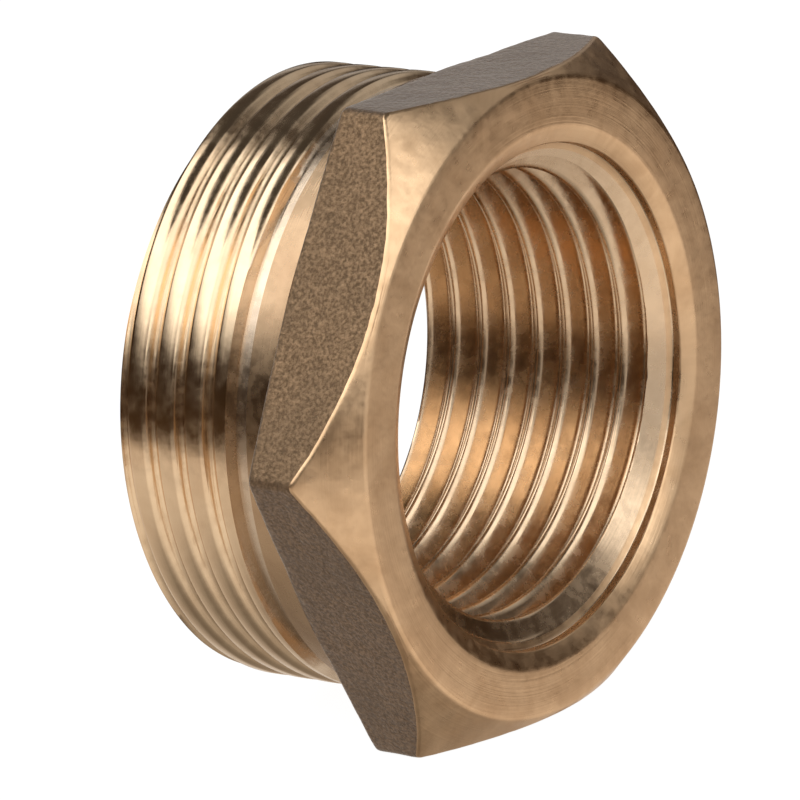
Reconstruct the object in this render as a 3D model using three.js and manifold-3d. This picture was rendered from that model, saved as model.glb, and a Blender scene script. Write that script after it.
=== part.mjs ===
// Hexagon reducing bush for pipework: one piece of brass, with a hexagon head, an outside thread
// behind it and an inside thread right through it.
//
// Millimetres, +Z up. The bush lies on one flat of its head: its axis runs along Y at half the head's
// height, the front face of the head looks along -Y and the threaded barrel points along +Y. While the
// body is being made its axis is the Y axis and its front face is at y = 0.

import * as THREE from 'three';
import { mergeVertices } from 'three/addons/utils/BufferGeometryUtils.js';
import Module from 'manifold-3d';

const TURN = 2 * Math.PI;
const degrees = THREE.MathUtils.degToRad;

// Pipe threads, 11 to the inch, with Whitworth flanks and with crests and roots left flat.
const PITCH = 25.4 / 11;
const FLANK_SLOPE = Math.tan(degrees(27.5));

// Outside thread 1 1/4 inch: a narrow, shallow groove between broad lands.
const OUTSIDE_CREST_R = 41.91 / 2;
const OUTSIDE_DEPTH = 0.8;
const OUTSIDE_ROOT = 0.24;

// Inside thread 1 inch, at its full depth.
const INSIDE_CREST_R = 30.291 / 2;
const INSIDE_ROOT = PITCH / 6;
const INSIDE_DEPTH = (PITCH / 2 - INSIDE_ROOT) / FLANK_SLOPE;

// Hexagon head.
const ACROSS_FLATS = 44;
const CORNER_ROUNDING = 0.8;
const HEAD_LENGTH = 7.2;
const FRONT_FACE_R = 21.6;
const FRONT_CHAMFER = degrees(42);
const BACK_FACE_R = 21.9;
const BACK_CHAMFER = degrees(7);

// Barrel: plain neck, thread relief, thread and end chamfer.
const TOTAL_LENGTH = 20.5;
const NECK_END = 9.9;
const RELIEF_END = 11.6;
const RELIEF_DEPTH = 0.75;
const RELIEF_WALL = 0.35;
const END_CHAMFER = 0.5;

// Bore: a shallow counterbore with a chamfered rim and a conical floor, and a small chamfer at the back.
const RIM_R = 18.25;
const RIM_CHAMFER = degrees(25.5);
const COUNTERBORE_R = 17.1;
const COUNTERBORE_DEPTH = 1.13;
const COUNTERBORE_FLOOR = degrees(29);
const BACK_COUNTERSINK = 0.3;

// Where the middle of each thread groove crosses the +X side, measured from the front face.
const OUTSIDE_GROOVE_AT = 18.95;
const INSIDE_GROOVE_AT = 0.65;

// The outside groove ends inside the relief, and dies away over its last facets.
const OUTSIDE_GROOVE_END = 10.75;
const RUN_OUT_FACETS = 7;

// Flat facets round the bush, and how far a cutter overshoots what it cuts.
const FACETS = 40;
const OVERSHOOT = 0.3;

const BRASS = { color: 0xb58e5c, roughness: 0.38, metalness: 1 };

const wasm = await Module();
wasm.setup();

/** Turns a closed three.js geometry into a solid that can be cut and joined. */
function toSolid(geometry) {
  geometry.deleteAttribute('normal');
  geometry.deleteAttribute('uv');
  const merged = mergeVertices(geometry);
  return new wasm.Manifold(new wasm.Mesh({
    numProp: 3,
    vertProperties: new Float32Array(merged.getAttribute('position').array),
    triVerts: new Uint32Array(merged.getIndex().array),
  }));
}

/** Turns a solid back into a three.js geometry. */
function toGeometry(solid) {
  const mesh = solid.getMesh();
  const geometry = new THREE.BufferGeometry();
  geometry.setAttribute('position', new THREE.BufferAttribute(mesh.vertProperties, 3));
  geometry.setIndex(new THREE.BufferAttribute(mesh.triVerts, 1));
  geometry.computeVertexNormals();
  return geometry;
}

/** Everything that is turned on the lathe, as a ring: [radius, distance from the front face]. */
function turnedRing() {
  const beyondCorners = ACROSS_FLATS / Math.sqrt(3) + 1;
  const rimDepth = (RIM_R - COUNTERBORE_R) * Math.tan(RIM_CHAMFER);
  const floorDepth = COUNTERBORE_DEPTH + (COUNTERBORE_R - INSIDE_CREST_R) * Math.tan(COUNTERBORE_FLOOR);
  const frontChamferDepth = (beyondCorners - FRONT_FACE_R) * Math.tan(FRONT_CHAMFER);
  const backChamferDepth = (beyondCorners - BACK_FACE_R) * Math.tan(BACK_CHAMFER);
  const reliefR = OUTSIDE_CREST_R - RELIEF_DEPTH;
  const outline = [
    [INSIDE_CREST_R, floorDepth],
    [COUNTERBORE_R, COUNTERBORE_DEPTH],
    [COUNTERBORE_R, rimDepth],
    [RIM_R, 0],
    [FRONT_FACE_R, 0],
    [beyondCorners, frontChamferDepth],
    [beyondCorners, HEAD_LENGTH - backChamferDepth],
    [BACK_FACE_R, HEAD_LENGTH],
    [OUTSIDE_CREST_R, HEAD_LENGTH],
    [OUTSIDE_CREST_R, NECK_END],
    [reliefR, NECK_END + RELIEF_WALL],
    [reliefR, RELIEF_END - RELIEF_WALL],
    [OUTSIDE_CREST_R, RELIEF_END],
    [OUTSIDE_CREST_R, TOTAL_LENGTH - END_CHAMFER],
    [OUTSIDE_CREST_R - END_CHAMFER, TOTAL_LENGTH],
    [INSIDE_CREST_R + BACK_COUNTERSINK, TOTAL_LENGTH],
    [INSIDE_CREST_R, TOTAL_LENGTH - BACK_COUNTERSINK],
    [INSIDE_CREST_R, floorDepth],
  ];
  return new THREE.LatheGeometry(outline.map(([r, y]) => new THREE.Vector2(r, y)), FACETS);
}

/** The hexagon bar that the bush is cut from, with flats facing up and down and rounded corners. */
function hexagonBar() {
  const outline = new THREE.Shape();
  const cornerCentre = (ACROSS_FLATS / 2 - CORNER_ROUNDING) / Math.cos(TURN / 12);
  for (let corner = 0; corner < 6; corner += 1) {
    const angle = corner * TURN / 6;
    outline.absarc(
      cornerCentre * Math.cos(angle),
      cornerCentre * Math.sin(angle),
      CORNER_ROUNDING,
      angle - TURN / 12,
      angle + TURN / 12,
    );
  }
  const bar = new THREE.ExtrudeGeometry(outline, {
    depth: TOTAL_LENGTH + 2 * OVERSHOOT,
    curveSegments: 3,
    bevelEnabled: false,
  });
  return bar.rotateX(-TURN / 4).translate(0, -OVERSHOOT, 0);
}

/** The section of a thread groove whose root lies at rootR, opening outwards (+1) or inwards (-1). */
function grooveSection(rootR, rootWidth, depth, opening) {
  const height = depth + OVERSHOOT;
  const mouthR = rootR + opening * height;
  const rootHalf = rootWidth / 2;
  const mouthHalf = rootHalf + height * FLANK_SLOPE;
  return new THREE.Shape([
    new THREE.Vector2(rootR, -rootHalf),
    new THREE.Vector2(mouthR, -mouthHalf),
    new THREE.Vector2(mouthR, mouthHalf),
    new THREE.Vector2(rootR, rootHalf),
  ]);
}

/**
 * A groove section wound into a right-hand helix from y = from down to y = to. It crosses the +X side
 * at y = sideY, and over its last runOut facets it lifts out of the metal. It is laid out in facets
 * counted from the +X side, and its joints fall half way between the edges of the turned facets.
 */
function windGroove(section, from, to, sideY, runOut = 0) {
  const first = Math.ceil((from - sideY) / PITCH * FACETS) + 0.5;
  const last = Math.ceil((to - sideY) / PITCH * FACETS) + 0.5;
  const groove = new THREE.ExtrudeGeometry(section, {
    depth: first - last,
    steps: first - last,
    bevelEnabled: false,
  });
  const position = groove.getAttribute('position');
  for (let i = 0; i < position.count; i += 1) {
    const facet = first - position.getZ(i);
    const runOutLeft = runOut > 0 ? Math.max(0, 1 - (facet - last) / runOut) : 0;
    const radius = position.getX(i) + (OUTSIDE_DEPTH + OVERSHOOT) * runOutLeft;
    const angle = -facet * TURN / FACETS;
    const y = sideY + position.getY(i) + facet * PITCH / FACETS;
    position.setXYZ(i, radius * Math.cos(angle), y, radius * Math.sin(angle));
  }
  return groove;
}

function outsideGroove() {
  const section = grooveSection(OUTSIDE_CREST_R - OUTSIDE_DEPTH, OUTSIDE_ROOT, OUTSIDE_DEPTH, 1);
  return windGroove(section, TOTAL_LENGTH + PITCH, OUTSIDE_GROOVE_END, OUTSIDE_GROOVE_AT, RUN_OUT_FACETS);
}

function insideGroove() {
  const section = grooveSection(INSIDE_CREST_R + INSIDE_DEPTH, INSIDE_ROOT, INSIDE_DEPTH, -1);
  return windGroove(section, TOTAL_LENGTH + PITCH, -PITCH, INSIDE_GROOVE_AT);
}

function bushBody() {
  const solid = toSolid(turnedRing())
    .intersect(toSolid(hexagonBar()))
    .subtract(toSolid(outsideGroove()))
    .subtract(toSolid(insideGroove()));
  const body = new THREE.Mesh(toGeometry(solid), new THREE.MeshStandardMaterial(BRASS));
  body.name = 'bush_body';
  body.position.set(0, -TOTAL_LENGTH / 2, ACROSS_FLATS / 2);
  return body;
}

const bush = new THREE.Group();
bush.name = 'reducing_bush';
bush.add(bushBody());

export default bush;
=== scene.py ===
"""A brass hexagon reducing bush: its looks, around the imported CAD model.

Everything is in the CAD's frame: the bush lies on one flat of its head, its axis runs along Y at half
the head's height, and the front face looks along -Y. The body's section is worked out in millimetres,
as a radius and a distance y behind the front face, and turned into metres when the mesh is made.
"""
import math

import bmesh
import bpy
import numpy as np
from mathutils import Matrix, Vector


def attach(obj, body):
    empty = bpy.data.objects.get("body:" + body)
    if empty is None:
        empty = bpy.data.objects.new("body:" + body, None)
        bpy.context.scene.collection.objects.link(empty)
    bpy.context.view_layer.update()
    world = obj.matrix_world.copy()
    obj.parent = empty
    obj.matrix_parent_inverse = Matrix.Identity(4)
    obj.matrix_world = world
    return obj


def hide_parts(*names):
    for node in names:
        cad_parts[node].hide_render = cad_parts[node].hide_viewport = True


TURN = 2 * math.pi
MM = 0.001

# Both threads: 11 to the inch, right-hand, with Whitworth flanks.
PITCH = 25.4 / 11
FLANK_SLOPE = math.tan(math.radians(27.5))

OUTSIDE_CREST_R = 41.91 / 2
OUTSIDE_DEPTH = 0.8
OUTSIDE_ROOT = 0.24
OUTSIDE_ROUNDING = 0.52
OUTSIDE_GROOVE_AT = 18.95
OUTSIDE_GROOVE_END = 10.75
RUN_OUT_LENGTH = 0.4

INSIDE_CREST_R = 30.291 / 2
INSIDE_ROOT = PITCH / 6
INSIDE_DEPTH = (PITCH / 2 - INSIDE_ROOT) / FLANK_SLOPE
INSIDE_ROUNDING = 0.34
INSIDE_GROOVE_AT = 0.65

# Hexagon head.
ACROSS_FLATS = 44.0
CORNER_ROUNDING = 0.8
HEAD_LENGTH = 7.2
FRONT_FACE_R = 21.6
FRONT_CHAMFER = math.radians(42)
BACK_FACE_R = 21.9
BACK_CHAMFER = math.radians(7)
SKIN_DEPTH = 0.05
SKIN_UNEVENNESS = 0.025

# Barrel.
TOTAL_LENGTH = 20.5
NECK_END = 9.9
RELIEF_END = 11.6
RELIEF_DEPTH = 0.75
RELIEF_WALL = 0.35
END_CHAMFER = 0.5

# Bore.
RIM_R = 18.25
RIM_CHAMFER = math.radians(25.5)
COUNTERBORE_R = 17.1
RIM_DEPTH = (RIM_R - COUNTERBORE_R) * math.tan(RIM_CHAMFER)
COUNTERBORE_DEPTH = 1.13
COUNTERBORE_FLOOR = math.radians(29)
BACK_COUNTERSINK = 0.3

# How finely the surface is laid out.
COLUMNS_PER_FLAT = 46
COLUMNS_PER_CORNER = 8
CORNER_SPAN = math.radians(1.0)
LINES_PER_BEND = 4
LINES_PER_BEND_AT_FLOOR = 12
ROWS_ON_FLATS = 11

# Welding, in metres, and the least angle that shades as an edge.
WELD_DISTANCE = 2e-6
SHORTEST_EDGE = 1e-7
SHARP_ANGLE = math.radians(38)

# Noise frequencies, per metre.
LATHE_MARKS_SCALE = 9000
DULLNESS_SCALE = 900
UNEVENNESS_SCALE = 420


# ---------------------------------------------------------------- the body's mesh

def column_angles():
    """Angles of the planes that the section is drawn in: closer together across the hexagon's corners."""
    corner = np.linspace(-CORNER_SPAN, CORNER_SPAN, COLUMNS_PER_CORNER + 1)
    flat = np.linspace(CORNER_SPAN, TURN / 6 - CORNER_SPAN, COLUMNS_PER_FLAT + 1)
    one_sixth = np.concatenate([corner[:-1], flat[:-1]])
    angles = np.concatenate([one_sixth + side * TURN / 6 for side in range(6)])
    return np.append(angles, angles[0] + TURN)


def hexagon_radius(angles):
    """Distance from the axis to the hexagon's outline, with rounded corners at multiples of 60 degrees."""
    from_corner = np.abs((angles + TURN / 12) % (TURN / 6) - TURN / 12)
    flat = ACROSS_FLATS / 2 / np.cos(TURN / 12 - from_corner)
    centre = (ACROSS_FLATS / 2 - CORNER_ROUNDING) / math.cos(TURN / 12)
    inside = np.maximum(CORNER_ROUNDING ** 2 - (centre * np.sin(from_corner)) ** 2, 0)
    arc = centre * np.cos(from_corner) + np.sqrt(inside)
    arc_end = math.atan2(CORNER_ROUNDING / 2, centre + CORNER_ROUNDING * math.cos(TURN / 12))
    return np.where(from_corner < arc_end, arc, flat)


def soft_between(value, low, high, rounding):
    """The value, held between low and high, with the two bends rounded off."""
    above = value - low
    bend = (above + rounding) ** 2 / (4 * rounding)
    above = np.where(np.abs(above) < rounding, bend, np.maximum(above, 0))
    below = high - low - above
    bend = (below + rounding) ** 2 / (4 * rounding)
    below = np.where(np.abs(below) < rounding, bend, np.maximum(below, 0))
    return high - below


class Thread:
    """A right-hand groove wound round the axis, whose middle crosses the +X side at side_y."""

    def __init__(self, side_y, root_width, depth, rounding):
        self.side_y = side_y
        self.root_half = root_width / 2
        self.depth = depth
        self.rounding = rounding

    def from_middle(self, angles, y):
        """Distance along the axis from the nearest groove's middle."""
        turns = (y - self.side_y) / PITCH + angles / TURN
        return (turns - np.round(turns)) * PITCH

    def depth_below_crest(self, from_middle):
        """How deep the groove is at a distance from its middle, with rounded crests and roots."""
        flank = self.depth - (np.abs(from_middle) - self.root_half) / FLANK_SLOPE
        return soft_between(flank, 0, self.depth, self.rounding)

    def phases(self, steps):
        """Where lines are drawn along the groove, as shares of the pitch: closer together at its bends."""
        reach = self.rounding * FLANK_SLOPE
        mouth_half = self.root_half + self.depth * FLANK_SLOPE
        bends = [np.linspace(bend - reach, bend + reach, steps) for bend in (self.root_half, mouth_half)]
        half = np.unique(np.clip(np.concatenate([[0, PITCH / 2], *bends]), 0, PITCH / 2).round(4)) / PITCH
        return np.concatenate([-half[:0:-1], half[:-1]])

    def lines(self, angles, low, high, steps):
        """Values of y along lines that follow the groove from low to high, and stop at those two."""
        first = math.floor((low - self.side_y) / PITCH)
        last = math.ceil((high - self.side_y) / PITCH) + 1
        return [
            np.clip(self.side_y + PITCH * (turn + phase - angles / TURN), low, high)
            for turn in range(first, last + 1)
            for phase in self.phases(steps)
        ]


OUTSIDE_THREAD = Thread(OUTSIDE_GROOVE_AT, OUTSIDE_ROOT, OUTSIDE_DEPTH, OUTSIDE_ROUNDING)
INSIDE_THREAD = Thread(INSIDE_GROOVE_AT, INSIDE_ROOT, INSIDE_DEPTH, INSIDE_ROUNDING)


def outside_radius(angles, y):
    """The barrel's surface: what the lathe left, less the thread groove and its run-out."""
    crest = OUTSIDE_CREST_R
    relief = crest - RELIEF_DEPTH
    turned = np.interp(
        y,
        [NECK_END, NECK_END + RELIEF_WALL, RELIEF_END - RELIEF_WALL, RELIEF_END,
         TOTAL_LENGTH - END_CHAMFER, TOTAL_LENGTH],
        [crest, relief, relief, crest, crest, crest - END_CHAMFER],
    )
    across = OUTSIDE_THREAD.from_middle(angles, y)
    run_out = np.clip(1 - (y - across - OUTSIDE_GROOVE_END) / RUN_OUT_LENGTH, 0, 1)
    grooved = crest - OUTSIDE_THREAD.depth_below_crest(across) + OUTSIDE_DEPTH * run_out
    return np.minimum(turned, grooved)


def inside_radius(angles, y):
    """The bore's surface: the counterbore's conical floor, the thread and the small chamfer at the back."""
    crest = INSIDE_CREST_R
    turned = np.maximum(
        COUNTERBORE_R - (y - COUNTERBORE_DEPTH) / math.tan(COUNTERBORE_FLOOR),
        crest + np.maximum(0, y - (TOTAL_LENGTH - BACK_COUNTERSINK)),
    )
    across = INSIDE_THREAD.from_middle(angles, y)
    return np.maximum(turned, crest + INSIDE_THREAD.depth_below_crest(across))


def soft_corner(before, corner, after, length, steps):
    """Points round a corner of the section, which is eased over a length on either side."""
    before, corner, after = (np.array(p, float) for p in (before, corner, after))
    to_before, to_after = before - corner, after - corner
    size_before, size_after = np.hypot(*to_before), np.hypot(*to_after)
    ease = np.minimum(length, 0.45 * np.minimum(size_before, size_after))
    start = corner + to_before / size_before * ease
    end = corner + to_after / size_after * ease
    return [
        (1 - t) ** 2 * start + 2 * t * (1 - t) * corner + t ** 2 * end
        for t in np.linspace(0, 1, steps + 1)
    ]


class Section:
    """The closed section of the body in every plane, as rows of (radius, y), each with what follows it."""

    def __init__(self, angles):
        self.angles = angles
        self.rows = []
        self.finishes = []

    def ring(self, radius, y):
        """One point of the section, in every plane."""
        return np.stack([radius + 0 * self.angles, y + 0 * self.angles])

    def add(self, radius, y, finish):
        self.rows.append(self.ring(radius, y))
        self.finishes.append(finish)

    def add_points(self, points, finish):
        for radius, y in points:
            self.add(radius, y, finish)

    def add_between(self, start, end, count, finish):
        for i in range(1, count + 1):
            radius, y = start + (end - start) * i / (count + 1)
            self.add(radius, y, finish)


def waves(points, seed, longest, shortest, count):
    """Smooth unevenness from -1 to 1 at points in space, from seeded waves in every direction."""
    random = np.random.default_rng(seed)
    total = np.zeros(points.shape[:-1])
    for _ in range(count):
        direction = random.normal(size=3)
        direction /= np.linalg.norm(direction)
        length = math.exp(random.uniform(math.log(shortest), math.log(longest)))
        total += np.sin(points @ direction * TURN / length + random.uniform(0, TURN))
    return np.clip(total / math.sqrt(2 * count), -1, 1)


def forged_unevenness(angles, radius, y):
    """How far the forged skin lies below the true hexagon."""
    points = np.stack([radius * np.cos(angles), y + 0 * angles, radius * np.sin(angles)], axis=-1)
    coarse = waves(points, seed=3, longest=9.0, shortest=3.5, count=24)
    fine = waves(points, seed=4, longest=2.2, shortest=0.9, count=40)
    return SKIN_DEPTH + SKIN_UNEVENNESS * coarse + SKIN_UNEVENNESS * fine


def add_head(section):
    """Front ring, front chamfer, hexagon, back chamfer and shoulder."""
    angles = section.angles
    hexagon = hexagon_radius(angles)
    counterbore_rim = section.ring(COUNTERBORE_R, RIM_DEPTH)
    face_inner = section.ring(RIM_R, 0)
    face_edge = section.ring(FRONT_FACE_R, 0)
    front_edge = section.ring(hexagon, (hexagon - FRONT_FACE_R) * math.tan(FRONT_CHAMFER))
    back_edge = section.ring(hexagon, HEAD_LENGTH - (hexagon - BACK_FACE_R) * math.tan(BACK_CHAMFER))
    shoulder_edge = section.ring(BACK_FACE_R, HEAD_LENGTH)
    neck_corner = section.ring(OUTSIDE_CREST_R, HEAD_LENGTH)
    neck_end = section.ring(OUTSIDE_CREST_R, NECK_END)

    section.add_points(soft_corner(counterbore_rim, face_inner, face_edge, length=0.2, steps=3), "face")
    section.add_between(face_inner, face_edge, 2, "face")
    section.add_points(soft_corner(face_inner, face_edge, front_edge, length=0.22, steps=3), "face")
    section.add_between(face_edge, front_edge, 2, "face")

    for radius, y in soft_corner(face_edge, front_edge, back_edge, length=0.2, steps=4):
        sunk = forged_unevenness(angles, radius, y)
        section.add(radius - sunk, y - sunk * math.tan(FRONT_CHAMFER), "face")
    section.finishes[-1] = "skin"
    flat = [
        front_edge + (back_edge - front_edge) * share
        for share in np.linspace(0, 1, ROWS_ON_FLATS)[1:-1]
    ]
    for radius, y in flat + soft_corner(front_edge, back_edge, shoulder_edge, length=0.25, steps=3):
        section.add(radius - forged_unevenness(angles, radius, y), y, "skin")
    section.finishes[-1] = "back"
    section.add_between(back_edge, shoulder_edge, 1, "back")
    section.add_points([shoulder_edge], "back")
    section.add_points(soft_corner(shoulder_edge, neck_corner, neck_end, length=0.2, steps=3), "neck")


def add_barrel(section):
    """Neck, thread relief, outside thread and end chamfer."""
    angles = section.angles
    section.add(OUTSIDE_CREST_R, (HEAD_LENGTH + NECK_END) / 2, "neck")
    ends = [NECK_END, NECK_END + RELIEF_WALL, RELIEF_END - RELIEF_WALL, RELIEF_END,
            TOTAL_LENGTH - END_CHAMFER, TOTAL_LENGTH]
    for low, high in zip(ends, ends[1:]):
        finish = "relief" if high <= RELIEF_END else "outside_thread"
        for y in OUTSIDE_THREAD.lines(angles, low, high, LINES_PER_BEND):
            section.add(outside_radius(angles, y), y, finish)


def add_end_face_and_bore(section):
    """The flat end of the barrel, then the inside thread and the counterbore forward to the front face."""
    angles = section.angles
    outer = section.rows[-1]
    inner = section.ring(inside_radius(angles, TOTAL_LENGTH), TOTAL_LENGTH)
    section.finishes[-1] = "face"
    section.add_between(outer, inner, 2, "face")
    root_r = INSIDE_CREST_R + INSIDE_DEPTH
    floor_at_root = COUNTERBORE_DEPTH + (COUNTERBORE_R - root_r) * math.tan(COUNTERBORE_FLOOR)
    floor_at_crest = COUNTERBORE_DEPTH + (COUNTERBORE_R - INSIDE_CREST_R) * math.tan(COUNTERBORE_FLOOR)
    stretches = [
        (TOTAL_LENGTH - BACK_COUNTERSINK, TOTAL_LENGTH, LINES_PER_BEND),
        (floor_at_crest, TOTAL_LENGTH - BACK_COUNTERSINK, LINES_PER_BEND),
        (floor_at_root, floor_at_crest, LINES_PER_BEND_AT_FLOOR),
    ]
    for low, high, steps in stretches:
        for y in reversed(INSIDE_THREAD.lines(angles, low, high, steps)):
            section.add(inside_radius(angles, y), y, "inside_thread")
    section.finishes[-1] = "face"
    floor_inner = section.ring(root_r, floor_at_root)
    floor_edge = section.ring(COUNTERBORE_R, COUNTERBORE_DEPTH)
    rim = section.ring(COUNTERBORE_R, RIM_DEPTH)
    face_inner = section.ring(RIM_R, 0)
    section.add_points(soft_corner(floor_inner, floor_edge, rim, length=0.08, steps=2), "inside_thread")
    section.add_points(soft_corner(floor_edge, rim, face_inner, length=0.1, steps=2), "face")


def section_mesh(name, section, finishes):
    """The closed mesh through the section's rows, with one material for each finish."""
    rows = np.array(section.rows)
    radius, y = rows[:, 0], rows[:, 1]
    points = np.stack([
        radius * np.cos(section.angles),
        y - TOTAL_LENGTH / 2,
        radius * np.sin(section.angles) + ACROSS_FLATS / 2,
    ], axis=-1) * MM
    row_count, column_count = radius.shape
    row, column = np.meshgrid(np.arange(row_count), np.arange(column_count - 1), indexing="ij")
    here = row * column_count + column
    above = (row + 1) % row_count * column_count + column
    quads = np.stack([here, here + 1, above + 1, above], axis=-1).reshape(-1, 4)

    mesh = bpy.data.meshes.new(name)
    mesh.from_pydata(points.reshape(-1, 3).tolist(), [], quads.tolist())
    for material in finishes.values():
        mesh.materials.append(material)
    order = list(finishes)
    index = np.repeat([order.index(f) for f in section.finishes], column_count - 1)
    mesh.polygons.foreach_set("material_index", index.astype(np.int32))
    return mesh


def weld(mesh):
    """Joins the points that lie on each other, so that the surface is closed, and turns it outwards."""
    work = bmesh.new()
    work.from_mesh(mesh)
    bmesh.ops.remove_doubles(work, verts=work.verts, dist=WELD_DISTANCE)
    bmesh.ops.dissolve_degenerate(work, edges=work.edges, dist=SHORTEST_EDGE)
    bmesh.ops.recalc_face_normals(work, faces=work.faces)
    work.to_mesh(mesh)
    work.free()
    mesh.shade_smooth()
    mesh.set_sharp_from_angle(angle=SHARP_ANGLE)


def make_body(finishes):
    """The whole bush as one object."""
    section = Section(column_angles())
    add_head(section)
    add_barrel(section)
    add_end_face_and_bore(section)
    mesh = section_mesh("bush_skin", section, finishes)
    weld(mesh)
    body = bpy.data.objects.new("bush_skin", mesh)
    bpy.context.scene.collection.objects.link(body)
    return body


# ---------------------------------------------------------------- materials

class Nodes:
    """A material's or the world's node tree, with short names for what is made in it."""

    def __init__(self, owner):
        owner.use_nodes = True
        self.tree = owner.node_tree
        self.tree.nodes.clear()

    def node(self, kind, inputs=None, **settings):
        made = self.tree.nodes.new(kind)
        for name, value in settings.items():
            setattr(made, name, value)
        for name, value in (inputs or {}).items():
            if isinstance(value, bpy.types.NodeSocket):
                self.tree.links.new(value, made.inputs[name])
            else:
                made.inputs[name].default_value = value
        return made

    def math(self, operation, a, b=0.0, c=0.0):
        return self.node("ShaderNodeMath", {0: a, 1: b, 2: c}, operation=operation).outputs[0]

    def vector_math(self, operation, a, b=(0, 0, 0)):
        made = self.node("ShaderNodeVectorMath", {0: a, 1: b}, operation=operation)
        return made.outputs["Value" if operation in ("DOT_PRODUCT", "LENGTH") else "Vector"]

    def noise(self, vector, scale, detail=2.0, roughness=0.5, distortion=0.0):
        inputs = {"Vector": vector, "Scale": scale, "Detail": detail, "Roughness": roughness,
                  "Distortion": distortion}
        return self.node("ShaderNodeTexNoise", inputs).outputs["Fac"]

    def ramp(self, factor, stops):
        """A colour ramp through (position, colour or grey level) stops."""
        made = self.node("ShaderNodeValToRGB", {"Fac": factor})
        elements = made.color_ramp.elements
        elements.remove(elements[1])
        elements[0].position = stops[0][0]
        for position, _ in stops[1:]:
            elements.new(position)
        for element, (_, colour) in zip(elements, stops):
            element.color = (*colour, 1) if isinstance(colour, tuple) else (colour,) * 3 + (1,)
        return made.outputs["Color"]

    def smooth(self, value, low, high, out_low=0.0, out_high=1.0):
        inputs = {"Value": value, "From Min": low, "From Max": high, "To Min": out_low, "To Max": out_high}
        made = self.node("ShaderNodeMapRange", inputs, interpolation_type="SMOOTHSTEP")
        return made.outputs["Result"]

    def mix(self, factor, a, b, blend="MIX"):
        made = self.node("ShaderNodeMix", data_type="RGBA", blend_type=blend)
        for socket, value in ((made.inputs[0], factor), (made.inputs[6], a), (made.inputs[7], b)):
            if isinstance(value, bpy.types.NodeSocket):
                self.tree.links.new(value, socket)
            else:
                socket.default_value = (*value, 1) if isinstance(value, tuple) else value
        return made.outputs[2]


def axis_coordinates(nodes):
    """Position in metres from the bush's axis, and the distance from it."""
    place = nodes.node("ShaderNodeTexCoord").outputs["Object"]
    centred = nodes.vector_math("SUBTRACT", place, (0, 0, ACROSS_FLATS / 2 * MM))
    across = nodes.vector_math("MULTIPLY", centred, (1, 0, 1))
    return centred, nodes.vector_math("LENGTH", across)


def lathe_marks(nodes, centred, distance, along):
    """Fine marks that run round the axis. Their height varies with radius (along 0) or y (along 1)."""
    parts = nodes.node("ShaderNodeSeparateXYZ", {"Vector": centred})
    where = nodes.math("MULTIPLY_ADD", parts.outputs["Y"], along, nodes.math("MULTIPLY", distance, 1 - along))
    round_it = nodes.vector_math("MULTIPLY", centred, (0.02, 0, 0.02))
    shift = nodes.node("ShaderNodeCombineXYZ", {"X": where, "Y": 0.0, "Z": 0.0}).outputs[0]
    return nodes.noise(nodes.vector_math("ADD", round_it, shift), LATHE_MARKS_SCALE, 3.0, 0.6)


def brass(name, light, dark, roughness, unevenness, marks_along, marks_height, stain_scale):
    """Turned brass: slight stains, fine lathe marks and a little unevenness. Heights are in metres."""
    material = bpy.data.materials.new(name)
    nodes = Nodes(material)
    centred, distance = axis_coordinates(nodes)
    marks = lathe_marks(nodes, centred, distance, marks_along)
    stains = nodes.noise(centred, stain_scale, 4.0, 0.6, 0.6)
    colour = nodes.mix(nodes.smooth(stains, 0.32, 0.78), light, dark)
    blotches = nodes.noise(centred, DULLNESS_SCALE, 3.0, 0.6)
    dull = nodes.smooth(blotches, 0.3, 0.75, roughness - 0.05, roughness + 0.1)
    marks_bump = nodes.node("ShaderNodeBump", {"Height": marks, "Distance": marks_height})
    uneven = nodes.noise(centred, UNEVENNESS_SCALE, 3.0, 0.55)
    bump = nodes.node("ShaderNodeBump", {"Height": uneven, "Distance": unevenness,
                                         "Normal": marks_bump.outputs["Normal"]})
    shader = nodes.node("ShaderNodeBsdfPrincipled", {
        "Base Color": colour, "Metallic": 1.0, "Roughness": dull, "Normal": bump.outputs["Normal"]})
    nodes.node("ShaderNodeOutputMaterial", {"Surface": shader.outputs[0]})
    return material


def forged_brass(name):
    """The forging's own skin on the hexagon: dull, brown and finely grained."""
    material = bpy.data.materials.new(name)
    nodes = Nodes(material)
    centred, _ = axis_coordinates(nodes)
    grain = nodes.noise(centred, 4200, 3.0, 0.6, 0.2)
    pits = nodes.noise(centred, 1500, 3.0, 0.6)
    tone = nodes.noise(centred, 180, 3.0, 0.55)
    speckle = nodes.mix(nodes.smooth(grain, 0.3, 0.72), (0.15, 0.094, 0.05), (0.315, 0.203, 0.114))
    colour = nodes.mix(nodes.smooth(tone, 0.35, 0.7, 0.0, 0.35), speckle, (0.16, 0.105, 0.06))
    dull = nodes.smooth(grain, 0.35, 0.7, 0.62, 0.46)
    pit_bump = nodes.node("ShaderNodeBump", {"Height": pits, "Distance": 0.00007})
    bump = nodes.node("ShaderNodeBump", {"Height": grain, "Distance": 0.00004,
                                         "Normal": pit_bump.outputs["Normal"]})
    shader = nodes.node("ShaderNodeBsdfPrincipled", {
        "Base Color": colour, "Metallic": 0.9, "Roughness": dull, "Normal": bump.outputs["Normal"],
        "Sheen Weight": 0.7, "Sheen Roughness": 0.4, "Sheen Tint": (1.0, 0.93, 0.88, 1.0)})
    nodes.node("ShaderNodeOutputMaterial", {"Surface": shader.outputs[0]})
    return material


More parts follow.
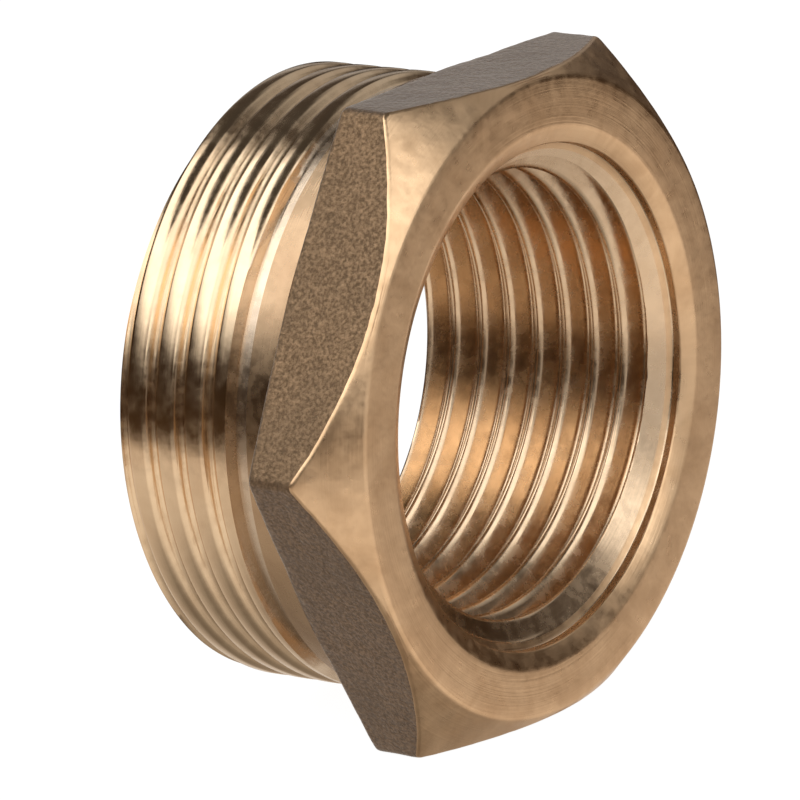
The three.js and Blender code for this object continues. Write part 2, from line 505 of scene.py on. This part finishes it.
def make_finishes():
    """The material of each kind of surface on the body. The neck and bore colours hold painted shade, the
    relief's colour painted light.
    """
    light, dark = (0.80, 0.55, 0.33), (0.62, 0.40, 0.225)
    return {
        "face": brass(
            "turned_face", light, dark, roughness=0.32, unevenness=0.00004,
            marks_along=0, marks_height=0.000012, stain_scale=220),
        "back": brass(
            "turned_back", light, dark, roughness=0.34, unevenness=0.00004,
            marks_along=0, marks_height=0.00001, stain_scale=260),
        "skin": forged_brass("forged_skin"),
        # Painted shade: the neck's base colours are darker than the other turned brass, standing in for the
        # shade next to the hexagon head.
        "neck": brass(
            "turned_neck_painted_shade", (0.50, 0.345, 0.21), (0.41, 0.27, 0.16), roughness=0.25, unevenness=0.00002,
            marks_along=1, marks_height=0.000008, stain_scale=200),
        # Painted light: the relief's base colours are paler and less orange than the thread's, so the recess
        # looks lit.
        "relief": brass(
            "thread_relief_painted_light", (0.70, 0.56, 0.42), (0.62, 0.48, 0.34), roughness=0.22, unevenness=0.00002,
            marks_along=1, marks_height=0.000008, stain_scale=200),
        "outside_thread": brass(
            "cut_thread", (0.82, 0.62, 0.41), (0.72, 0.52, 0.33), roughness=0.17, unevenness=0.000015,
            marks_along=1, marks_height=0.000006, stain_scale=200),
        # Painted shade: the bore thread's base colours are a little darker than the outside thread's,
        # standing in for the shade inside the bore.
        "inside_thread": brass(
            "bore_thread_painted_shade", (0.76, 0.57, 0.385), (0.64, 0.46, 0.295), roughness=0.22, unevenness=0.000015,
            marks_along=1, marks_height=0.000006, stain_scale=220),
    }


# ---------------------------------------------------------------- studio

def sector(nodes, flat_direction, azimuth, inner, outer):
    """1 within the inner angle of an azimuth, fading to 0 at the outer one. Azimuth 0 is -Y, 90 is +X."""
    middle = math.radians(azimuth)
    towards = (math.sin(middle), -math.cos(middle), 0)
    cosine = nodes.vector_math("DOT_PRODUCT", flat_direction, towards)
    return nodes.smooth(cosine, math.cos(math.radians(outer)), math.cos(math.radians(inner)))


def band(nodes, height, low, low_full, high_full, high):
    """1 between two elevations in degrees, fading out on both sides."""
    sines = [math.sin(math.radians(e)) for e in (low, low_full, high_full, high)]
    rising = nodes.smooth(height, sines[0], sines[1])
    falling = nodes.smooth(height, sines[2], sines[3], 1.0, 0.0)
    return nodes.math("MULTIPLY", rising, falling)


def make_studio_light():
    """Light from all round: a pale floor glow, a dark horizon, and soft boxes, most of them above it."""
    world = bpy.data.worlds.new("studio")
    bpy.context.scene.world = world
    nodes = Nodes(world)
    direction = nodes.vector_math("NORMALIZE", nodes.node("ShaderNodeTexCoord").outputs["Generated"])
    height = nodes.node("ShaderNodeSeparateXYZ", {"Vector": direction}).outputs["Z"]
    level = nodes.vector_math("NORMALIZE", nodes.vector_math("MULTIPLY", direction, (1, 1, 0)))

    position = nodes.math("MULTIPLY_ADD", height, 0.5, 0.5)
    ground = nodes.ramp(position, [
        (0.0, (0.20, 0.175, 0.15)), (0.05, (0.28, 0.25, 0.22)), (0.17, (0.64, 0.58, 0.52)),
        (0.25, (0.74, 0.67, 0.60)), (0.345, (0.76, 0.68, 0.61)), (0.36, (0.66, 0.58, 0.51)),
        (0.39, (0.06, 0.035, 0.018)), (0.57, (0.03, 0.018, 0.01)), (0.65, (0.07, 0.055, 0.045)),
        (1.0, (0.06, 0.055, 0.05))])
    boxes = [
        # azimuth, inner, outer, low, low full, high full, high, strength
        (-120, 68, 84, 12, 37, 53, 61, 2.1),
        (-10, 26, 38, 7, 14, 50, 60, 1.6),
        (75, 15, 40, 20, 30, 45, 60, 0.4),
        (122, 12, 28, 2, 8, 16, 26, 0.35),
        (12, 16, 36, -16, -9, 4, 12, 0.6),
        (-5, 45, 65, -60, -40, -13, -8, 0.25),
    ]
    total = ground
    for azimuth, inner, outer, low, low_full, high_full, high, strength in boxes:
        mask = nodes.math("MULTIPLY", sector(nodes, level, azimuth, inner, outer),
                          band(nodes, height, low, low_full, high_full, high))
        total = nodes.vector_math("ADD", total, nodes.vector_math("MULTIPLY", mask, (strength,) * 3))
    seen = nodes.node("ShaderNodeLightPath").outputs["Is Camera Ray"]
    colour = nodes.mix(seen, total, (1.0, 1.0, 1.0))
    background = nodes.node("ShaderNodeBackground", {"Color": colour, "Strength": 1.0})
    nodes.node("ShaderNodeOutputWorld", {"Surface": background.outputs[0]})


def make_floor():
    """A pale floor under the bush. It doesn't mirror in the brass: the studio's own glow does that."""
    bpy.ops.mesh.primitive_plane_add(size=8, location=(0, 0, -0.00005))
    floor = bpy.context.object
    floor.name = "floor"
    material = bpy.data.materials.new("pale_floor")
    nodes = Nodes(material)
    shader = nodes.node("ShaderNodeBsdfPrincipled", {
        "Base Color": (0.12, 0.12, 0.12, 1), "Roughness": 1.0, "Specular IOR Level": 0.0,
        "Emission Color": (1, 1, 1, 1), "Emission Strength": 0.97})
    nodes.node("ShaderNodeOutputMaterial", {"Surface": shader.outputs[0]})
    floor.data.materials.append(material)
    floor.visible_glossy = False
    floor.visible_diffuse = False
    floor.visible_shadow = False


def make_camera():
    """A long lens from the front left, a little above the axis and slightly tilted."""
    azimuth, elevation, roll = math.radians(-54.8), math.radians(15.1), math.radians(-3.0)
    distance, side_shift, up_shift = 0.450, -0.01004, -0.00008
    back = Vector((math.sin(azimuth) * math.cos(elevation), -math.cos(azimuth) * math.cos(elevation),
                   math.sin(elevation)))
    level_right = Vector((math.cos(azimuth), math.sin(azimuth), 0))
    level_up = back.cross(level_right)
    right = math.cos(roll) * level_right + math.sin(roll) * level_up
    up = -math.sin(roll) * level_right + math.cos(roll) * level_up
    front_centre = Vector((0, -TOTAL_LENGTH / 2, ACROSS_FLATS / 2)) * MM
    data = bpy.data.cameras.new("camera")
    data.lens = 303.8
    data.sensor_width = 36
    data.clip_start = 0.01
    data.clip_end = 50
    camera = bpy.data.objects.new("camera", data)
    bpy.context.scene.collection.objects.link(camera)
    camera.matrix_world = Matrix.Translation(
        front_centre + distance * back + side_shift * right + up_shift * up
    ) @ Matrix((right, up, back)).transposed().to_4x4()
    bpy.context.scene.camera = camera


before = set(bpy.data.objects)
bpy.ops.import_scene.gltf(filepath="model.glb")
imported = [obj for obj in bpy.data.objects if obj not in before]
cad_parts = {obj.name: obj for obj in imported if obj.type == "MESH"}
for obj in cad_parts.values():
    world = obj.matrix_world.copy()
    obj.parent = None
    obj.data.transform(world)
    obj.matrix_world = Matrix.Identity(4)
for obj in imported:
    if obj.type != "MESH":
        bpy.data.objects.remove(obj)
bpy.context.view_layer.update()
make_camera()
body = make_body(make_finishes())
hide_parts("bush_body")
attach(body, "root")
make_studio_light()
make_floor()
bpy.context.scene.view_settings.view_transform = "Standard"
